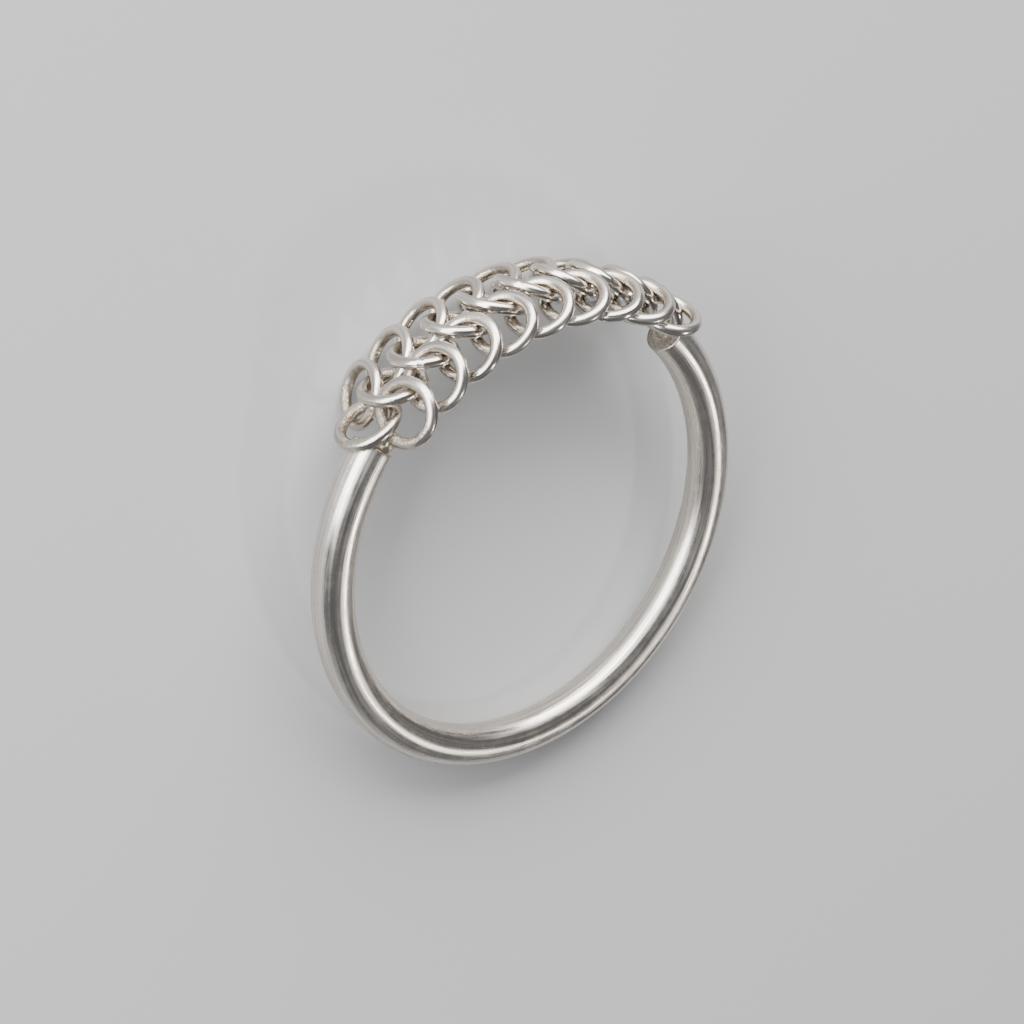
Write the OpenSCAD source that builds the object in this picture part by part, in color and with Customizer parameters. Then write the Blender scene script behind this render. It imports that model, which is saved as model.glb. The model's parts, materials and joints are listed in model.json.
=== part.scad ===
/* [Band] */
// Finger hole across, a US size 7
inner_d = 17.3; // [15:0.1:21]
// Round wire of the band
band_wire_d = 1.7; // [1.4:0.05:2.1]

/* [Links] */
// Round wire of each link
link_wire_d = 0.48; // [0.42:0.01:0.54]
// Clearance between linked wires
link_gap = 0.02; // [0.015:0.005:0.04]
// Links along the crest, with the two soldered to the band
crest_count = 10; // [7:1:12]

/* [Solder] */
// Solder bead at each end of the band
solder_d = 0.9; // [0.8:0.05:1.1]

/* [Hidden] */
// How open a link is, as its mean radius over wire and clearance
link_share = 2.36;
// Pitch of the links along the band's centre line, over the link radius
pitch_share = 1.41;
// One line for each row of the weave: place along the row in pitches,
// place outward and toward the upper side in link radii, then how far
// the link leans from lying flat on the finger, and which way
// [row, along, outward, up, lean, turn]
weave = [
    ["crest", 0, 0.50, -0.28, 29, -15],
    ["near", 0.66, 0.42, 0.90, 32, 153],
    ["far", 0.52, 0.28, -1.46, 28, -155],
    ["start", 0.04, 0.43, -0.29, 22, -15]
];
// How far the band's two ends reach past the middle of the soldered links, in link radii
laps = [0.47, 0.8];
row = 0;
along = 1;
outward = 2;
up = 3;
lean = 4;
turn = 5;

band_r = (inner_d + band_wire_d) / 2;
link_r = (link_wire_d + link_gap) * link_share;
pitch_a = pitch_share * link_r / band_r * 180 / PI;
edge_count = crest_count - 1;
first_a = 90 + (crest_count - 1) / 2 * pitch_a;
last_a = first_a - (crest_count - 1) * pitch_a;
start_a = first_a + laps[0] * link_r / band_r * 180 / PI;
end_a = last_a - laps[1] * link_r / band_r * 180 / PI;

// Where link k of a row sits round the ring, and its centre and axis
function link_a(w, k) = first_a - (k - 1 + w[along]) * pitch_a;
function link_c(w, k) = let (a = link_a(w, k), r = band_r + w[outward] * link_r)
    [r * cos(a), r * sin(a), w[up] * link_r];
function link_n(w, k) = let (a = link_a(w, k), s = sin(w[lean]), c = cos(w[lean]))
    [c * cos(a) + s * cos(w[turn]) * sin(a), c * sin(a) - s * cos(w[turn]) * cos(a), s * sin(w[turn])];

// Point k of a link's own circle that lies farthest along the row, or farthest back with s of -1
function link_tip(w, k, s) = let (a = link_a(w, k), n = link_n(w, k), t = [sin(a), -cos(a), 0],
    x = t - (t * n) * n) link_c(w, k) + s * link_r * x / norm(x);

// How far a torus reaches along a direction
function reach(c, n, r, t, d) = c * d + r * sqrt(max(0, 1 - pow(n * d, 2))) + t;
function all_reach(d) = max(concat(
    [for (w = weave, k = [1 : w[row] == "crest" ? crest_count : edge_count])
        reach(link_c(w, k), link_n(w, k), link_r, link_wire_d / 2, d)],
    [reach([0, 0, 0], [0, 0, 1], band_r, band_wire_d / 2, d)]));
// On a table the band touches at its back and the far row at its ends,
// so the ring tips up a little toward the chain
function down(t) = [0, -sin(t), -cos(t)];
function band_low(t) = reach([0, 0, 0], [0, 0, 1], band_r, band_wire_d / 2, down(t));
function link_low(t) = max([for (k = [1, edge_count])
    reach(link_c(weave[2], k), link_n(weave[2], k), link_r, link_wire_d / 2, down(t))]);
function tip(lo, hi, n) = let (m = (lo + hi) / 2)
    n == 0 ? m : band_low(m) < link_low(m) ? tip(m, hi, n - 1) : tip(lo, m, n - 1);
tip_a = tip(0, 20, 30);
side = [1, 0, 0];
back = [0, cos(tip_a), -sin(tip_a)];
shift = [(all_reach(-side) - all_reach(side)) / 2,
    (all_reach(-back) - all_reach(back)) / 2, band_low(tip_a)];

link_fn = 48;
band_fn = 144;

// The finished ring lies on its side as it does on a table
module rest() {
    translate(shift) rotate([tip_a, 0, 0]) children();
}

module link(w, k) {
    n = link_n(w, k);
    translate(link_c(w, k)) rotate([0, acos(n[2]), atan2(n[1], n[0])])
        rotate_extrude($fn = link_fn) translate([link_r, 0]) circle(d = link_wire_d, $fn = link_fn);
}

// Solder between a link's tip and the middle of the band's end at an angle
module bead(tip, a) {
    translate((tip + band_r * [cos(a), sin(a), 0]) / 2) sphere(d = solder_d, $fn = link_fn);
}

// Band wire round the back of the finger, with the end links soldered on: the first crest and
// near links at one end, the last crest link at the other
module band() {
    color("silver") rest() {
        rotate([0, 0, start_a]) rotate_extrude(angle = 360 + end_a - start_a, $fn = band_fn)
            translate([band_r, 0]) circle(d = band_wire_d, $fn = link_fn);
        link(weave[3], 1);
        link(weave[1], 1);
        link(weave[0], crest_count);
        bead(link_tip(weave[3], 1, -1), start_a);
        bead(link_tip(weave[1], 1, -1), start_a);
        bead(link_tip(weave[0], crest_count, 1), end_a);
    }
}

module crest_link(k) {
    color("gainsboro") rest() link(weave[0], k);
}

module near_link(k) {
    color("lightsteelblue") rest() link(weave[1], k);
}

module far_link(k) {
    color("palegreen") rest() link(weave[2], k);
}

band();
for (k = [2 : crest_count - 1])
    crest_link(k);
for (k = [2 : edge_count])
    near_link(k);
for (k = [1 : edge_count])
    far_link(k);
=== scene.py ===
"""Chain link ring: a round wire band whose front is a woven strip of small silver links."""
import json
import math

import bmesh
import bpy
from bpy.props import FloatProperty, FloatVectorProperty, IntProperty, PointerProperty
from mathutils import Matrix, Vector, noise


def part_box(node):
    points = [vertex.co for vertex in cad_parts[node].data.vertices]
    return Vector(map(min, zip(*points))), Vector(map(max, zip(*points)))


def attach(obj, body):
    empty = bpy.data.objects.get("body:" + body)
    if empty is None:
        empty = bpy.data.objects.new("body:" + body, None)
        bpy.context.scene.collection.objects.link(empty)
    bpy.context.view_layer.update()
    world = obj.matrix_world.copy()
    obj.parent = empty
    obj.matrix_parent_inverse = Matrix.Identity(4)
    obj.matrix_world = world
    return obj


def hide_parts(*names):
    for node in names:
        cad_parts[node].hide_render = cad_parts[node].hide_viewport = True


bl_info = {
    "name": "Chain Link Ring",
    "version": (1, 0, 0),
    "blender": (4, 5, 0),
    "location": "3D View > Sidebar > Ring",
    "description": "Builds the band, the woven links, the solder and the stage round the packed frame",
    "category": "Object",
}

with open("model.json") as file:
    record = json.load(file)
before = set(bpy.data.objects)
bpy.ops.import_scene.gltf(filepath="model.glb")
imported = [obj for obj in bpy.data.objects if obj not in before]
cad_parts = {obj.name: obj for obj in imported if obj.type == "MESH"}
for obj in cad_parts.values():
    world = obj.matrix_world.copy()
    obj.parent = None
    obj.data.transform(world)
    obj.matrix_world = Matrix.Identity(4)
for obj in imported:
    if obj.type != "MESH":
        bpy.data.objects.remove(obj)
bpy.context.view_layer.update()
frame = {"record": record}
FINGER = next(m for m in frame["record"]["mounts"] if m["name"] == "finger")
MM = 0.001

# One line for each row of the weave, as in the part's source: place along the row in pitches, place
# outward and toward the upper side in link radii, and how far and which way the link leans
WEAVE = {
    "crest": (0.0, 0.50, -0.28, 29, -15),
    "near": (0.66, 0.42, 0.90, 32, 153),
    "far": (0.52, 0.28, -1.46, 28, -155),
    "start": (0.04, 0.43, -0.29, 22, -15),
}
# Where each link's butt seam is turned to, in degrees, taken in turn along a row
SEAMS = {
    "crest": (205, 160, 232, 188, 120, 215, 170, 250, 140, 200),
    "near": (128, 96, 210, 74, 160, 118, 230, 88, 145),
    "far": (250, 200, 170, 285, 225, 150, 260, 190, 240),
    "start": (190,),
}

# How far a woven link's middle may be from its solid's
PLACE_SLACK = 0.05 * MM

# Faces round the band's wire and along it, and the angle in degrees past which an edge stays sharp
BAND_SIDES, BAND_STEPS, BAND_SMOOTH = 64, 240, 50
# Faces along a link and round its wire
LINK_STEPS, LINK_SIDES = 96, 28
# A link's seam: how far from it faces are cut, in link radii, and the share of the wire left in it
SEAM_REACH, SEAM_SHARE = 0.07, 0.88
# The lumps of a solder bead: how many to a metre, then the fade, step and number of the finer ones
LUMPS, LUMP_FADE, LUMP_STEP, LUMP_OCTAVES = 3400, 0.9, 2.0, 4
# A bead's mean radius and its swell, as shares of the round bead in the part's source
BEAD_MEAN, BEAD_SWELL = 0.90, 0.09

# Sockets of a colour mix
MIX_FACTOR, MIX_A, MIX_B, MIX_RESULT = 0, 6, 7, 2
# Height of the surface marks, and of the solder's grain, in metres
MARK_HEIGHT, GRAIN_HEIGHT = 0.0000085, 0.000018
# How far from the soldered joint the grit fades out, and where it is full, in metres
GRIT_END, GRIT_FULL = 0.0055, 0.0010

# The photograph's camera in the ring's own space: its right, up and back in columns, and its place in
# band radii last. All of it is then turned round the finger by PHOTO_TURN, in degrees.
PHOTO_TURN = -21.44
PHOTO_CAMERA = (
    (0.74354, 0.0, -0.66869, -11.2049),
    (0.24719, 0.92917, 0.27486, 4.62366),
    (0.62133, -0.36966, 0.69087, 11.47272),
    (0, 0, 0, 1),
)
LENS_MM, SENSOR_MM = 140.625, 36
FLOOR_SIZE, FLOOR_ROUGHNESS = 1.2, 0.85
ROOM_COLOUR = (0.62, 0.64, 0.68, 1)

# A large soft light beyond the linked strip, a cool one to its left and a small warm one behind the
# camera: place, the point that it faces, width, height, share of the key light's power, colour
LIGHTS = {
    "key_light": ((0.06, 0.36, 0.16), (0, 0, 0), 0.50, 0.30, 1.0, (1.0, 0.985, 0.97)),
    "left_light": ((-0.26, 0.20, 0.12), (0, 0.01, 0), 0.40, 0.22, 0.62, (0.97, 0.98, 1.0)),
    "fill_light": ((0.16, -0.26, 0.30), (0, 0, 0), 0.04, 0.04, 0.08, (1.0, 0.96, 0.90)),
}


class RingBandSizes(bpy.types.PropertyGroup):
    """Sizes of the plain wire band"""

    hole: FloatProperty(
        name="Finger Hole", description="Across the finger hole", default=0.0173, unit="LENGTH")
    wire: FloatProperty(
        name="Band Wire", description="Round wire of the band", default=0.0017, unit="LENGTH")
    edge: FloatProperty(
        name="End Edge", description="Softened edge of the band's cut ends", default=0.00006, unit="LENGTH")
    start_lap: FloatProperty(
        name="Start Lap", default=0.47,
        description="How far the band passes the middle of the first link, in link radii")
    end_lap: FloatProperty(
        name="End Lap", default=0.8,
        description="How far the band passes the middle of the last link, in link radii")


class RingLinkSizes(bpy.types.PropertyGroup):
    """Sizes of the woven links"""

    wire: FloatProperty(
        name="Link Wire", description="Round wire of each link", default=0.00048, unit="LENGTH")
    gap: FloatProperty(
        name="Clearance", description="Clearance between linked wires", default=0.00002, unit="LENGTH")
    share: FloatProperty(
        name="Openness", description="Mean radius of a link over wire and clearance", default=2.36)
    pitch: FloatProperty(
        name="Pitch", description="Pitch along the band's centre line, in link radii", default=1.41)
    count: IntProperty(
        name="Crest Links", description="Links along the crest, with the two soldered ones", default=10,
        min=3)
    seam: FloatProperty(
        name="Seam", description="Half the width of the seam where a link closes", default=0.000012,
        unit="LENGTH")
    solder: FloatProperty(
        name="Solder", description="Across each solder bead", default=0.0009, unit="LENGTH")


class RingFinish(bpy.types.PropertyGroup):
    """Colours and gloss of the silver"""

    silver: FloatVectorProperty(
        name="Silver", description="Polished silver", subtype="COLOR", default=(0.67, 0.625, 0.57))
    # A warm dark colour painted on the inner side of each wire. It is painted shade and painted warm
    # reflection from the gaps of the weave, and near the soldered joint it is real solder grit
    shade_and_grit: FloatVectorProperty(
        name="Painted Shade And Grit", description="Warm tint kept in the gaps of the weave", subtype="COLOR",
        default=(0.20, 0.155, 0.105))
    solder: FloatVectorProperty(
        name="Solder Colour", description="Solder at the ends", subtype="COLOR", default=(0.64, 0.56, 0.43))
    gloss: FloatProperty(
        name="Roughness", description="Mean roughness of the polished wire", default=0.17,
        subtype="FACTOR", min=0, max=1)


class RingStage(bpy.types.PropertyGroup):
    """The table and the light"""

    floor: FloatVectorProperty(
        name="Floor", description="Plain pale floor", subtype="COLOR", default=(0.46, 0.46, 0.465))
    key: FloatProperty(
        name="Key Light", description="Power of the large soft light", default=5.2, unit="POWER")
    sky: FloatProperty(
        name="Room", description="Brightness of the room round the table", default=0.28)


def deselect():
    """Leaves edit mode and selects nothing."""
    if bpy.context.object and bpy.context.object.mode != "OBJECT":
        bpy.ops.object.mode_set(mode="OBJECT")
    bpy.ops.object.select_all(action="DESELECT")


def ring_space():
    """The ring's own space, with the finger hole along Z, tipped as the ring lies on the table."""
    axis = Vector(FINGER["axis"])
    return Matrix.Translation(FINGER["pos_m"]) @ Matrix.Rotation(math.atan2(-axis.y, axis.z), 4, "X")


def band_radius(scene):
    """Radius of the band wire's centre line."""
    return (scene.ring_band.hole + scene.ring_band.wire) / 2


def link_radius(scene):
    """Mean radius of a link."""
    return (scene.ring_links.wire + scene.ring_links.gap) * scene.ring_links.share


def link_angle(scene, row, k):
    """Where link k of a row sits round the ring, in radians."""
    pitch = scene.ring_links.pitch * link_radius(scene) / band_radius(scene)
    first = math.pi / 2 + (scene.ring_links.count - 1) / 2 * pitch
    return first - (k - 1 + WEAVE[row][0]) * pitch


def link_pose(scene, row, k):
    """Link k of a row in the ring's own space: X along the row, Z along the link's axis."""
    _, outward, up, lean, turn = WEAVE[row]
    a, rho = link_angle(scene, row, k), link_radius(scene)
    out, run = Vector((math.cos(a), math.sin(a), 0)), Vector((math.sin(a), -math.cos(a), 0))
    s, c, w = math.sin(math.radians(lean)), math.cos(math.radians(lean)), math.radians(turn)
    n = c * out + s * math.cos(w) * run + s * math.sin(w) * Vector((0, 0, 1))
    x = (run - run.dot(n) * n).normalized()
    pose = Matrix((x, n.cross(x), n)).transposed().to_4x4()
    pose.translation = (band_radius(scene) + outward * rho) * out + Vector((0, 0, up * rho))
    return pose


def band_ends(scene):
    """Where the band's wire starts and ends round the ring, in radians."""
    rho, r = link_radius(scene), band_radius(scene)
    return (link_angle(scene, "crest", 1) + scene.ring_band.start_lap * rho / r,
            link_angle(scene, "crest", scene.ring_links.count) - scene.ring_band.end_lap * rho / r)


def band_point(scene, a):
    """A point of the band's centre line, in the ring's own space."""
    return band_radius(scene) * Vector((math.cos(a), math.sin(a), 0))


def mark_wire(mesh, radius):
    """Stores for each point how far it lies along its wire and where in its section, in millimetres."""
    wire = mesh.attributes.new("wire", "FLOAT_VECTOR", "POINT")
    for v, value in zip(mesh.vertices, wire.data):
        a = math.atan2(v.co.y, v.co.x) % (2 * math.pi)
        value.vector = (a * radius / MM, (math.hypot(v.co.x, v.co.y) - radius) / MM, v.co.z / MM)


def node(tree, kind, place, **values):
    """Adds a node, sets its own properties and then its sockets by name."""
    made = tree.nodes.new(kind)
    made.location = place
    for name, value in values.items():
        if hasattr(made, name):
            setattr(made, name, value)
        else:
            made.inputs[name.replace("_", " ")].default_value = value
    return made


def ramp(tree, place, stops, colours):
    """A colour ramp between two colours."""
    made = tree.nodes.new("ShaderNodeValToRGB")
    made.location = place
    for element, stop, colour in zip(made.color_ramp.elements, stops, colours):
        element.position, element.color = stop, (*(min(1, c) for c in colour), 1)
    return made


def metal(name):
    """A new metal material, its tree, the tree's link function and its shader."""
    mat = bpy.data.materials.new(name)
    mat.use_nodes = True
    shader = mat.node_tree.nodes["Principled BSDF"]
    shader.inputs["Metallic"].default_value = 1.0
    return mat, mat.node_tree, mat.node_tree.links.new, shader


def silver(scene, name, gloss=1.0, warm=1.0, dull=0.34):
    """Polished silver wire: drawing marks along it, small nicks, and on its inner side a warm dark tint
    that is painted shade and painted warm reflection, with real solder grit near the joint.
    """
    if name in bpy.data.materials:
        return bpy.data.materials[name]
    finish = scene.ring_finish
    gloss *= finish.gloss
    mat, tree, link, shader = metal(name)
    wire = node(tree, "ShaderNodeAttribute", (-1500, 0), attribute_name="wire")
    along = node(tree, "ShaderNodeMapping", (-1300, 0), Scale=(0.2, 8, 8))
    fine = node(tree, "ShaderNodeMapping", (-1300, -320), Scale=(0.22, 11, 11))
    broad = node(tree, "ShaderNodeTexNoise", (-1100, 0), Scale=1.0, Detail=3.0, Roughness=0.55)
    thin = node(tree, "ShaderNodeTexNoise", (-1100, -320), Scale=1.0, Detail=2.0)
    for stretch, noise_node in ((along, broad), (fine, thin)):
        link(wire.outputs["Vector"], stretch.inputs["Vector"])
        link(stretch.outputs["Vector"], noise_node.inputs["Vector"])
    place = node(tree, "ShaderNodeTexCoord", (-1500, -640))
    cloud = node(tree, "ShaderNodeTexNoise", (-1100, -640), Scale=1400.0, Detail=4.0, Roughness=0.6)
    nick = node(tree, "ShaderNodeTexVoronoi", (-1100, -940), Scale=5200.0)
    sand = node(tree, "ShaderNodeTexNoise", (-1100, -1240), Scale=11000.0, Detail=3.0, Roughness=0.7)
    for texture in (cloud, nick, sand):
        link(place.outputs["Object"], texture.inputs["Vector"])

    # Roughness follows the marks and the handling haze
    rough = node(tree, "ShaderNodeMapRange", (-800, 0), From_Min=0.3, From_Max=0.7,
                 To_Min=gloss * 0.55, To_Max=gloss * 1.7)
    haze = node(tree, "ShaderNodeMapRange", (-800, -640), From_Min=0.35, From_Max=0.75,
                To_Min=0.0, To_Max=gloss * 0.4)
    total = node(tree, "ShaderNodeMath", (-600, 0), operation="ADD")
    link(broad.outputs["Fac"], rough.inputs["Value"])
    link(cloud.outputs["Fac"], haze.inputs["Value"])
    link(rough.outputs["Result"], total.inputs[0])
    link(haze.outputs["Result"], total.inputs[1])
    link(total.outputs[0], shader.inputs["Roughness"])

    # How far inward a point lies on its link, and how close to the soldered joint
    part = node(tree, "ShaderNodeSeparateXYZ", (-1300, 320))
    inner = node(tree, "ShaderNodeMapRange", (-1100, 320), interpolation_type="SMOOTHSTEP",
                 From_Min=0.04, From_Max=-0.20, To_Min=0.0, To_Max=0.9 * warm)
    link(wire.outputs["Vector"], part.inputs[0])
    link(part.outputs["Y"], inner.inputs["Value"])
    apart = node(tree, "ShaderNodeVectorMath", (-1300, 860), operation="DISTANCE")
    apart.inputs[1].default_value = ring_space() @ band_point(scene, band_ends(scene)[0])
    close = node(tree, "ShaderNodeMapRange", (-1100, 860), interpolation_type="SMOOTHSTEP",
                 From_Min=GRIT_END, From_Max=GRIT_FULL, To_Min=0.0, To_Max=warm)
    link(place.outputs["Object"], apart.inputs[0])
    link(apart.outputs["Value"], close.inputs["Value"])

    # The inner side of each wire is painted warmer and darker, broken up by the haze. This is painted shade
    # and painted warm reflection from the gaps of the weave, and a little more of it near the joint stands
    # for real solder grit
    patch = node(tree, "ShaderNodeMapRange", (-960, 520), From_Min=0.3, From_Max=0.65,
                 To_Min=0.35, To_Max=1.0)
    spread = node(tree, "ShaderNodeMath", (-960, 700), operation="MULTIPLY_ADD", use_clamp=True)
    spread.inputs[1].default_value = 0.22
    broken = node(tree, "ShaderNodeMath", (-800, 320), operation="MULTIPLY")
    link(cloud.outputs["Fac"], patch.inputs["Value"])
    link(close.outputs["Result"], spread.inputs[0])
    link(inner.outputs["Result"], spread.inputs[2])
    link(spread.outputs[0], broken.inputs[0])
    link(patch.outputs["Result"], broken.inputs[1])
    colour, shade_and_grit = Vector(finish.silver), Vector(finish.shade_and_grit)
    shade = ramp(tree, (-800, 640), (0.34, 0.6), ((1 - dull) * colour, (1 + 0.4 * dull) * colour))
    # The colour of the painted shade and warm reflection on the inner side, grained by the sand noise
    shade_and_grit_ramp = ramp(tree, (-800, 960), (0.46, 0.68), (shade_and_grit, 2.2 * shade_and_grit))
    tint = node(tree, "ShaderNodeMix", (-500, 320), data_type="RGBA")
    link(thin.outputs["Fac"], shade.inputs["Fac"])
    link(sand.outputs["Fac"], shade_and_grit_ramp.inputs["Fac"])
    link(broken.outputs[0], tint.inputs[MIX_FACTOR])
    link(shade.outputs["Color"], tint.inputs[MIX_A])
    link(shade_and_grit_ramp.outputs["Color"], tint.inputs[MIX_B])
    link(tint.outputs[MIX_RESULT], shader.inputs["Base Color"])

    # Drawing marks and nicks stand in the surface by a few thousandths of a millimetre
    marks = node(tree, "ShaderNodeMath", (-800, -320), operation="MULTIPLY_ADD")
    marks.inputs[1].default_value = 0.5
    dent = node(tree, "ShaderNodeMapRange", (-800, -940), From_Min=0.0, From_Max=0.11,
                To_Min=-0.5, To_Max=0.0)
    height = node(tree, "ShaderNodeMath", (-600, -400), operation="ADD")
    link(thin.outputs["Fac"], marks.inputs[0])
    link(broad.outputs["Fac"], marks.inputs[2])
    link(nick.outputs["Distance"], dent.inputs["Value"])
    link(marks.outputs[0], height.inputs[0])
    link(dent.outputs["Result"], height.inputs[1])

    # The tinted inner side stands higher as a grainy crust, and highest near the joint
    crust = node(tree, "ShaderNodeMath", (-800, -1240), operation="MULTIPLY")
    depth = node(tree, "ShaderNodeMath", (-800, -1440), operation="MULTIPLY_ADD")
    depth.inputs[1].default_value, depth.inputs[2].default_value = 9.0, 3.0
    whole = node(tree, "ShaderNodeMath", (-450, -500), operation="MULTIPLY_ADD")
    bump = node(tree, "ShaderNodeBump", (-300, -300), Strength=1.0, Distance=MARK_HEIGHT)
    link(sand.outputs["Fac"], crust.inputs[0])
    link(broken.outputs[0], crust.inputs[1])
    link(close.outputs["Result"], depth.inputs[0])
    link(crust.outputs[0], whole.inputs[0])
    link(depth.outputs[0], whole.inputs[1])
    link(height.outputs[0], whole.inputs[2])
    link(whole.outputs[0], bump.inputs["Height"])
    link(bump.outputs["Normal"], shader.inputs["Normal"])
    return mat


def solder_metal(name, colour):
    """Solder that ran and set: grainy, duller and warmer than the wire."""
    mat, tree, link, shader = metal(name)
    place = node(tree, "ShaderNodeTexCoord", (-1100, 0))
    grain = node(tree, "ShaderNodeTexNoise", (-900, 0), Scale=7500.0, Detail=4.0, Roughness=0.65)
    pits = node(tree, "ShaderNodeTexVoronoi", (-900, -320), Scale=9000.0)
    rough = node(tree, "ShaderNodeMapRange", (-600, 0), From_Min=0.3, From_Max=0.7, To_Min=0.24, To_Max=0.5)
    shade = ramp(tree, (-600, 320), (0.3, 0.66), (0.5 * Vector(colour), colour))
    both = node(tree, "ShaderNodeMath", (-600, -320), operation="ADD")
    bump = node(tree, "ShaderNodeBump", (-300, -300), Strength=1.0, Distance=GRAIN_HEIGHT)
    link(place.outputs["Object"], grain.inputs["Vector"])
    link(place.outputs["Object"], pits.inputs["Vector"])
    link(grain.outputs["Fac"], rough.inputs["Value"])
    link(rough.outputs["Result"], shader.inputs["Roughness"])
    link(grain.outputs["Fac"], shade.inputs["Fac"])
    link(shade.outputs["Color"], shader.inputs["Base Color"])
    link(grain.outputs["Fac"], both.inputs[0])
    link(pits.outputs["Distance"], both.inputs[1])
    link(both.outputs[0], bump.inputs["Height"])
    link(bump.outputs["Normal"], shader.inputs["Normal"])
    return mat


def pick(obj, kind, wanted):
    """Selects in edit mode only the faces, edges or vertices that a test wants."""
    bpy.ops.mesh.select_mode(type=kind)
    bpy.ops.mesh.select_all(action="DESELECT")
    mesh = bmesh.from_edit_mesh(obj.data)
    for item in {"FACE": mesh.faces, "EDGE": mesh.edges, "VERT": mesh.verts}[kind]:
        item.select_set(wanted(item))
    bmesh.update_edit_mesh(obj.data)


def settle(obj):
    """Lists a mesh's faces in one fixed order in edit mode, since a bevel's own order varies."""
    mesh = bmesh.from_edit_mesh(obj.data)
    mesh.verts.index_update()
    listed = sorted(mesh.faces, key=lambda face: sorted(v.index for v in face.verts))
    rank = {face: i for i, face in enumerate(listed)}
    mesh.faces.sort(key=rank.get)
    bmesh.update_edit_mesh(obj.data)


def make_link(scene):
    """One closed link lying flat at the origin, with the hairline seam where its wire ends meet."""
    sizes = scene.ring_links
    rho, half, s = link_radius(scene), sizes.wire / 2, sizes.seam
    deselect()
    bpy.ops.mesh.primitive_torus_add(
        major_radius=rho, minor_radius=half, major_segments=LINK_STEPS, minor_segments=LINK_SIDES,
        location=(0, 0, 0))
    obj = bpy.context.object
    bpy.ops.object.mode_set(mode="EDIT")

    def at_seam(face):
        c = face.calc_center_median()
        return c.x > 0 and abs(c.y) < rho * SEAM_REACH

    for y in (-s, s):
        pick(obj, "FACE", at_seam)
        bpy.ops.mesh.bisect(plane_co=(0, y, 0), plane_no=(0, 1, 0))
    pick(obj, "VERT", lambda v: v.co.x > 0 and abs(v.co.y) < s / 4)
    bpy.ops.transform.resize(value=(SEAM_SHARE,) * 3, center_override=(rho, 0, 0))
    bpy.ops.object.mode_set(mode="OBJECT")
    bpy.ops.object.shade_smooth()
    mark_wire(obj.data, rho)
    # The links carry the full painted shade and painted warm reflection on their inner sides
    obj.data.materials.append(silver(scene, "Link Silver"))
    return obj


def place_link(scene, master, row, k, name):
    """A copy of the finished link with its own mesh, woven into its place."""
    obj = bpy.data.objects.new(name, master.data.copy())
    obj.data.name = name
    scene.collection.objects.link(obj)
    seams = SEAMS[row]
    turned = Matrix.Rotation(math.radians(seams[(k - 1) % len(seams)]), 4, "Z")
    obj.data.transform(ring_space() @ link_pose(scene, row, k) @ turned)
    return obj


def build_row(scene, row, first, last):
    """All the loose links of one row, each in place of its own solid."""
    master = make_link(scene)
    for k in range(first, last + 1):
        solid = "%s_link_%d" % (row, k)
        obj = place_link(scene, master, row, k, "woven_%s_link_%d" % (row, k))
        lo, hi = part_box(solid)
        middle = (ring_space() @ link_pose(scene, row, k)).translation
        if (middle - (lo + hi) / 2).length > PLACE_SLACK:
            raise RuntimeError("%s isn't where its solid is" % obj.name)
        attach(obj, "root")
        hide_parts(solid)
    bpy.data.objects.remove(master)


class RING_OT_band(bpy.types.Operator):
    """Bend the band's wire round the back of the finger and cut its two ends square"""

    bl_idname = "ring.band"
    bl_label = "Band Wire"

    def execute(self, context):
        scene = context.scene
        sizes, r = scene.ring_band, band_radius(scene)
        start, end = band_ends(scene)
        arc = 2 * math.pi + end - start
        deselect()
        bpy.ops.mesh.primitive_circle_add(
            vertices=BAND_SIDES, radius=sizes.wire / 2, fill_type="NOTHING", location=(r, 0, 0),
            rotation=(math.pi / 2, 0, 0))
        obj = context.object
        bpy.ops.object.transform_apply(location=True, rotation=True, scale=True)
        bpy.ops.object.mode_set(mode="EDIT")
        bpy.ops.mesh.select_all(action="SELECT")
        bpy.ops.mesh.spin(steps=BAND_STEPS, angle=-arc, center=(0, 0, 0), axis=(0, 0, 1))
        bpy.ops.mesh.select_mode(type="EDGE")
        bpy.ops.mesh.select_all(action="DESELECT")
        bpy.ops.mesh.select_non_manifold()
        bpy.ops.mesh.edge_face_add()
        bpy.ops.object.mode_set(mode="OBJECT")
        obj.name = obj.data.name = "band_wire"
        if max(v.co.y for v in obj.data.vertices) < r * 0.9:
            raise RuntimeError("the band's wire didn't bend")
        if sum(len(p.vertices) > 4 for p in obj.data.polygons) != 2:
            raise RuntimeError("the band's ends aren't closed")

        # The edge of each cut end is softened
        bpy.ops.object.mode_set(mode="EDIT")
        bpy.ops.mesh.select_all(action="SELECT")
        bpy.ops.mesh.normals_make_consistent(inside=False)
        pick(obj, "EDGE", lambda edge: any(len(face.verts) > 4 for face in edge.link_faces))
        bpy.ops.mesh.bevel(offset=sizes.edge, segments=3)
        settle(obj)
        bpy.ops.object.mode_set(mode="OBJECT")
        bpy.ops.object.shade_smooth_by_angle(angle=math.radians(BAND_SMOOTH))
        mark_wire(obj.data, r)
        obj.data.transform(ring_space() @ Matrix.Rotation(start, 4, "Z"))
        # The band carries only a faint painted shade and painted warm reflection on its inner side
        obj.data.materials.append(silver(scene, "Band Silver", gloss=1.35, warm=0.12, dull=0.20))
        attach(obj, "root")
        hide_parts("band")
        return {"FINISHED"}


class RING_OT_soldered_links(bpy.types.Operator):
    """Set the end links that are soldered to the band"""

    bl_idname = "ring.soldered_links"
    bl_label = "Soldered Links"

    def execute(self, context):
        scene = context.scene
        master = make_link(scene)
        for row, k, name in (("start", 1, "soldered_crest_link_first"),
                             ("near", 1, "soldered_near_link_first"),
                             ("crest", scene.ring_links.count, "soldered_crest_link_last")):
            obj = place_link(scene, master, row, k, name)
            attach(obj, "root")
            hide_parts("band")
        bpy.data.objects.remove(master)
        return {"FINISHED"}


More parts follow.
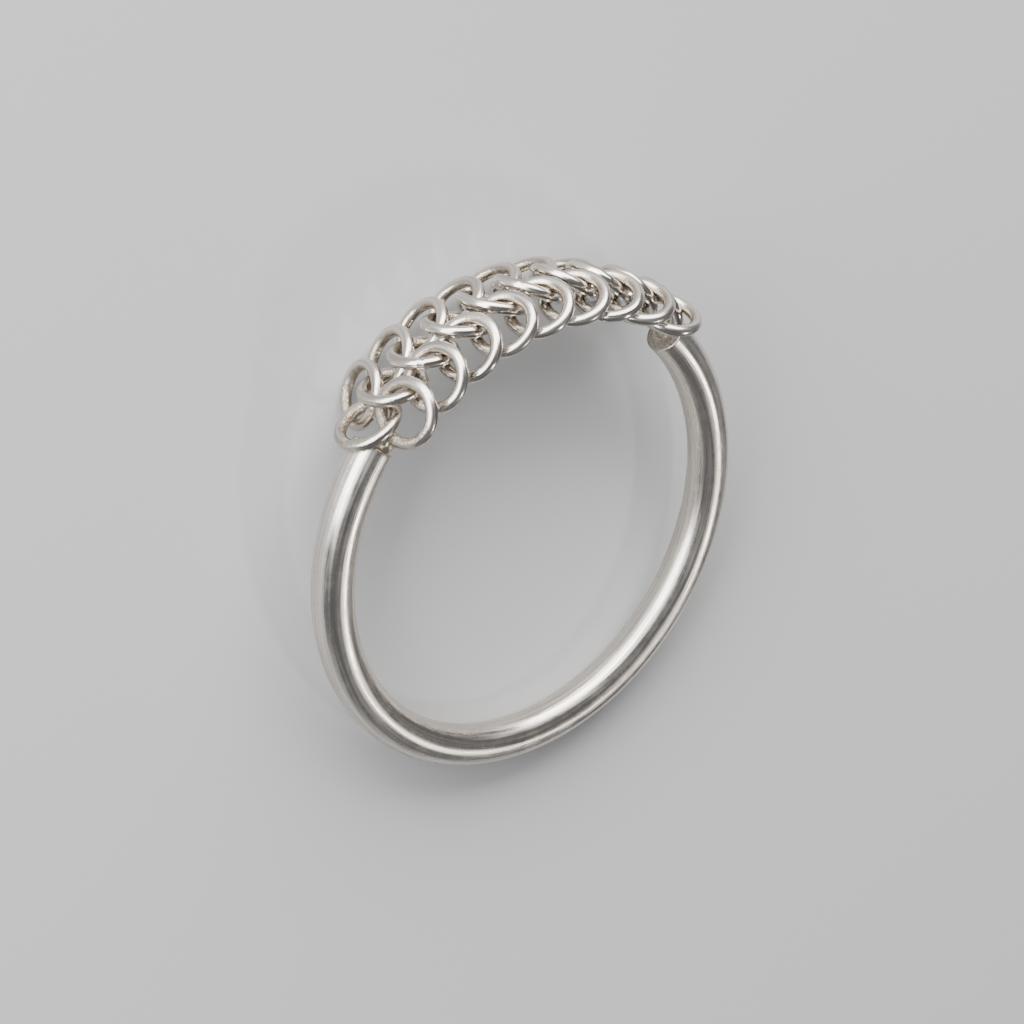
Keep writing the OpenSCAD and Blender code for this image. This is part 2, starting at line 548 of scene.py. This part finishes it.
class RING_OT_solder(bpy.types.Operator):
    """Run a lumpy solder bead between each end of the band and the link that it holds"""

    bl_idname = "ring.solder"
    bl_label = "Solder"

    def execute(self, context):
        scene = context.scene
        rho = link_radius(scene)
        solder = solder_metal("Solder", scene.ring_finish.solder)
        start, end = band_ends(scene)
        for name, row, k, side, a, size in (("solder_first", "start", 1, -1, start, 0.72),
                                            ("solder_start", "near", 1, -1, start, 1.0),
                                            ("solder_end", "crest", scene.ring_links.count, 1, end, 0.86)):
            tip = link_pose(scene, row, k) @ Vector((side * rho, 0, 0))
            middle = (tip + band_point(scene, a)) / 2
            deselect()
            bpy.ops.mesh.primitive_ico_sphere_add(
                subdivisions=5, radius=scene.ring_links.solder / 2, location=(0, 0, 0))
            obj = context.object
            obj.name = obj.data.name = name
            bpy.ops.object.mode_set(mode="EDIT")
            bpy.ops.mesh.vertices_smooth(factor=0.5, repeat=2)
            bpy.ops.object.mode_set(mode="OBJECT")
            for v in obj.data.vertices:
                swell = noise.fractal(v.co * LUMPS + Vector((k, 0, 0)), LUMP_FADE, LUMP_STEP, LUMP_OCTAVES)
                v.co *= size * (BEAD_MEAN + BEAD_SWELL * max(-1, min(1, swell)))
            obj.data.transform(ring_space() @ Matrix.Translation(middle))
            bpy.ops.object.shade_smooth()
            obj.data.materials.append(solder)
            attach(obj, "root")
            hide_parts("band")
        return {"FINISHED"}


class RING_OT_crest_links(bpy.types.Operator):
    """Weave the loose links of the crest"""

    bl_idname = "ring.crest_links"
    bl_label = "Crest Links"

    def execute(self, context):
        build_row(context.scene, "crest", 2, context.scene.ring_links.count - 1)
        return {"FINISHED"}


class RING_OT_near_links(bpy.types.Operator):
    """Weave the loose links of the upper edge"""

    bl_idname = "ring.near_links"
    bl_label = "Near Edge Links"

    def execute(self, context):
        build_row(context.scene, "near", 2, context.scene.ring_links.count - 1)
        return {"FINISHED"}


class RING_OT_far_links(bpy.types.Operator):
    """Weave the loose links of the lower edge"""

    bl_idname = "ring.far_links"
    bl_label = "Far Edge Links"

    def execute(self, context):
        build_row(context.scene, "far", 1, context.scene.ring_links.count - 1)
        return {"FINISHED"}


class RING_OT_stage(bpy.types.Operator):
    """Lay the pale floor and set the soft light and the camera"""

    bl_idname = "ring.stage"
    bl_label = "Stage"

    def execute(self, context):
        scene = context.scene
        stage = scene.ring_stage
        deselect()
        bpy.ops.mesh.primitive_plane_add(size=FLOOR_SIZE, location=(0, 0, 0))
        floor = context.object
        floor.name = "floor"
        mat = bpy.data.materials.new("Pale Floor")
        mat.use_nodes = True
        shader = mat.node_tree.nodes["Principled BSDF"]
        shader.inputs["Base Color"].default_value = (*stage.floor, 1)
        shader.inputs["Roughness"].default_value = FLOOR_ROUGHNESS
        floor.data.materials.append(mat)

        # The camera is the photograph's, given in the ring's own space
        seen = Matrix(PHOTO_CAMERA)
        seen.translation = seen.translation * band_radius(scene)
        camera = bpy.data.objects.new("camera", bpy.data.cameras.new("camera"))
        scene.collection.objects.link(camera)
        camera.matrix_world = ring_space() @ Matrix.Rotation(math.radians(PHOTO_TURN), 4, "Z") @ seen
        camera.data.lens, camera.data.sensor_width = LENS_MM, SENSOR_MM
        camera.data.clip_start, camera.data.clip_end = 0.005, 5
        scene.camera = camera

        for name, (place, aim, width, tall, share, colour) in LIGHTS.items():
            light = bpy.data.lights.new(name, "AREA")
            light.energy, light.color = stage.key * share, colour
            light.shape, light.size, light.size_y = "RECTANGLE", width, tall
            obj = bpy.data.objects.new(name, light)
            obj.location = place
            obj.rotation_euler = (Vector(aim) - Vector(place)).to_track_quat("-Z", "Y").to_euler()
            scene.collection.objects.link(obj)
        world = scene.world or bpy.data.worlds.new("Room")
        scene.world = world
        world.use_nodes = True
        world.node_tree.nodes["Background"].inputs["Color"].default_value = ROOM_COLOUR
        world.node_tree.nodes["Background"].inputs["Strength"].default_value = stage.sky
        return {"FINISHED"}


GROUPS = {
    "ring_band": (RingBandSizes, ("hole", "wire", "edge", "start_lap", "end_lap")),
    "ring_links": (RingLinkSizes, ("wire", "gap", "share", "pitch", "count", "seam", "solder")),
    "ring_finish": (RingFinish, ("silver", "shade_and_grit", "solder", "gloss")),
    "ring_stage": (RingStage, ("floor", "key", "sky")),
}
STEPS = (RING_OT_stage, RING_OT_band, RING_OT_soldered_links, RING_OT_solder, RING_OT_crest_links,
         RING_OT_near_links, RING_OT_far_links)


class RING_PT_build(bpy.types.Panel):
    """Build steps of the chain link ring"""

    bl_idname = "RING_PT_build"
    bl_label = "Chain Link Ring"
    bl_space_type = "VIEW_3D"
    bl_region_type = "UI"
    bl_category = "Ring"

    def draw(self, context):
        for name, (_, values) in GROUPS.items():
            box = self.layout.box()
            for value in values:
                box.prop(getattr(context.scene, name), value)
        for step in STEPS:
            self.layout.operator(step.bl_idname)


def register():
    for name, (group, _) in GROUPS.items():
        bpy.utils.register_class(group)
        setattr(bpy.types.Scene, name, PointerProperty(type=group))
    for step in (*STEPS, RING_PT_build):
        bpy.utils.register_class(step)


def unregister():
    for step in (RING_PT_build, *reversed(STEPS)):
        bpy.utils.unregister_class(step)
    for name, (group, _) in reversed(GROUPS.items()):
        delattr(bpy.types.Scene, name)
        bpy.utils.unregister_class(group)


def main():
    register()
    bpy.ops.ring.stage()
    bpy.ops.ring.band()
    bpy.ops.ring.soldered_links()
    bpy.ops.ring.solder()
    bpy.ops.ring.crest_links()
    bpy.ops.ring.near_links()
    bpy.ops.ring.far_links()


if __name__ == "__main__":
    main()
